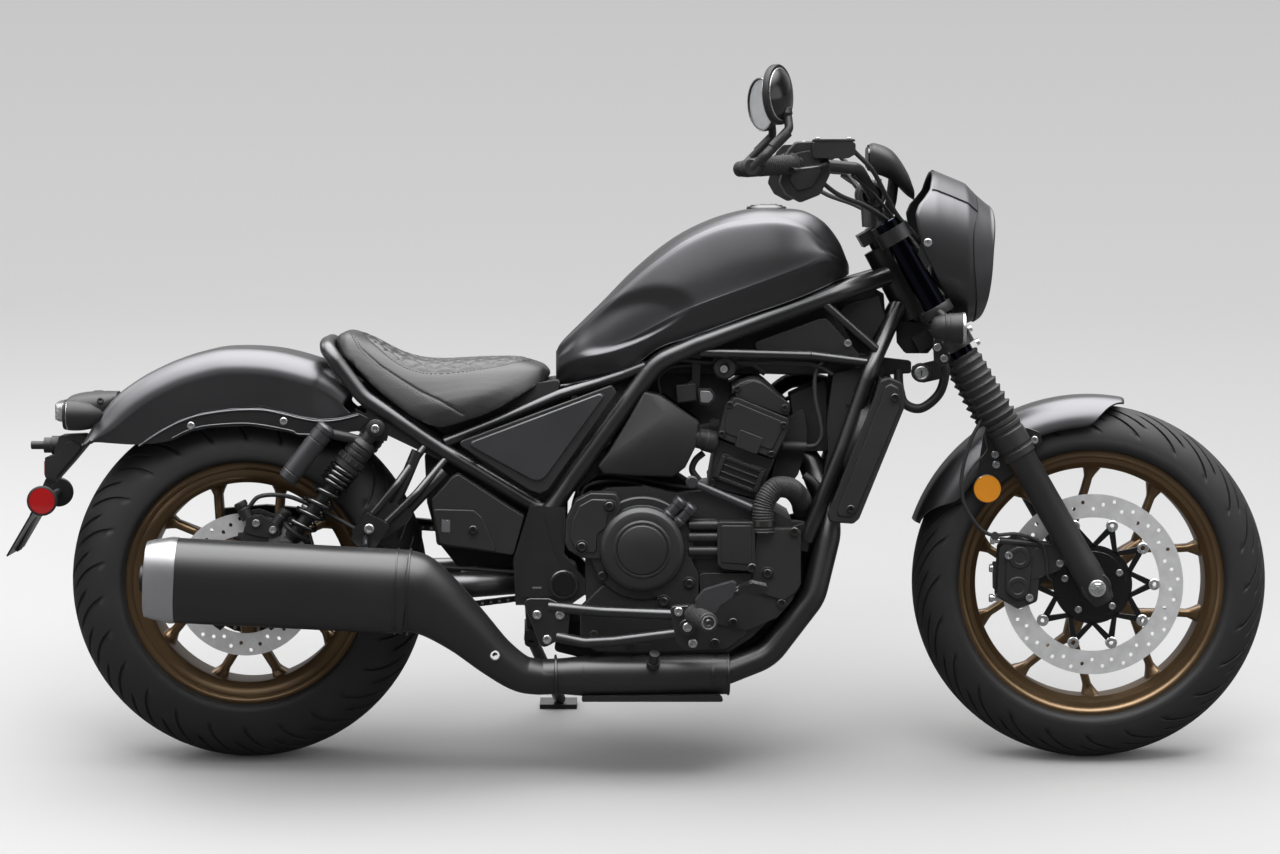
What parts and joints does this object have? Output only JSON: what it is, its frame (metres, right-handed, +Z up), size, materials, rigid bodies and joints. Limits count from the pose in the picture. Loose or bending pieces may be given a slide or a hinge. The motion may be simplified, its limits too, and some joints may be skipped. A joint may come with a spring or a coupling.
{
  "type": "cruiser motorcycle",
  "caption": "Low cruiser motorcycle with tubular frame, teardrop tank, short solo seat, fat tyres and one side muffler, parked on its side stand.",
  "frame": {"origin": "on the floor under the middle of the parked motorcycle's box", "axes": "+X forward along the wheelbase, +Y towards the rider's left, to which it leans on its side stand, +Z up from the floor"},
  "size_m": [2.2668, 0.9429, 1.297],
  "materials": {
    "frame_black": "satin black paint",
    "body_paint": "matt graphite paint",
    "panel_grey": "matt gunmetal paint",
    "engine_black": "matt black enamel on cast alloy",
    "wheel_bronze": "satin bronze paint",
    "tyre_black": "black road tyre",
    "seat_cover": "quilted black cover",
    "disc_steel": "ground steel",
    "chain_steel": "oiled steel",
    "exhaust_black": "satin heat paint",
    "fork_dark": "dark hard coating",
    "slider_black": "satin black",
    "boot_rubber": "matt rubber",
    "steel_bolt": "plain steel",
    "plastic_black": "grained black plastic"
  },
  "bodies": {
    "chassis": {"main_frame": "frame_black", "rear_subframe": "frame_black", "swingarm": "frame_black", "rear_axle": "steel_bolt", "pivot_bolt": "steel_bolt", "rear_shocks": "slider_black", "shock_springs": "frame_black", "crankcase": "engine_black", "cylinder_head": "engine_black", "engine_covers": "engine_black", "intake_cover": "plastic_black", "radiator": "plastic_black", "exhaust_pipes": "exhaust_black", "muffler": "exhaust_black", "fuel_tank": "body_paint", "seat": "seat_cover", "rear_fender": "body_paint", "tail_lamp": "plastic_black", "rear_signals": "plastic_black", "plate_holder": "frame_black", "side_panels": "panel_grey", "neck_panels": "plastic_black", "foot_controls": "frame_black", "drive_chain": "chain_steel", "chain_guard": "plastic_black", "rear_caliper": "slider_black"},
    "steering": {"triple_clamps": "frame_black", "fork_tubes": "fork_dark", "fork_sliders": "slider_black", "fork_boots": "boot_rubber", "handlebar": "frame_black", "hand_controls": "plastic_black", "mirrors": "plastic_black", "headlamp": "plastic_black", "headlamp_cowl": "body_paint", "instrument": "plastic_black", "front_fender": "body_paint", "front_signals": "plastic_black", "front_caliper": "slider_black", "front_axle": "steel_bolt"},
    "front_wheel": {"front_tyre": "tyre_black", "front_rim": "wheel_bronze", "front_disc": "disc_steel"},
    "rear_wheel": {"rear_tyre": "tyre_black", "rear_rim": "wheel_bronze", "rear_disc": "disc_steel", "rear_sprocket": "chain_steel"},
    "side_stand": {"side_stand": "frame_black"}
  },
  "joints": [
    {"name": "steering", "type": "hinge", "parent": "chassis", "child": "steering", "pos_m": [0.46041, -0.03, 0.85402], "axis": [-0.4695, 0.1685, 0.8667], "range_deg": [-35, 35]},
    {"name": "front_wheel", "type": "hinge", "parent": "steering", "child": "front_wheel", "pos_m": [0.813, -0.1347, 0.31533], "axis": [0, 0.9816, -0.1908], "continuous": true},
    {"name": "rear_wheel", "type": "hinge", "parent": "chassis", "child": "rear_wheel", "pos_m": [-0.707, -0.13442, 0.31679], "axis": [0, 0.9816, -0.1908], "continuous": true},
    {"name": "side_stand", "type": "hinge", "parent": "chassis", "child": "side_stand", "pos_m": [-0.202, -0.01059, 0.1677], "axis": [-0.0173, 0.8614, 0.5076], "range_deg": [0, 101]}
  ]
}
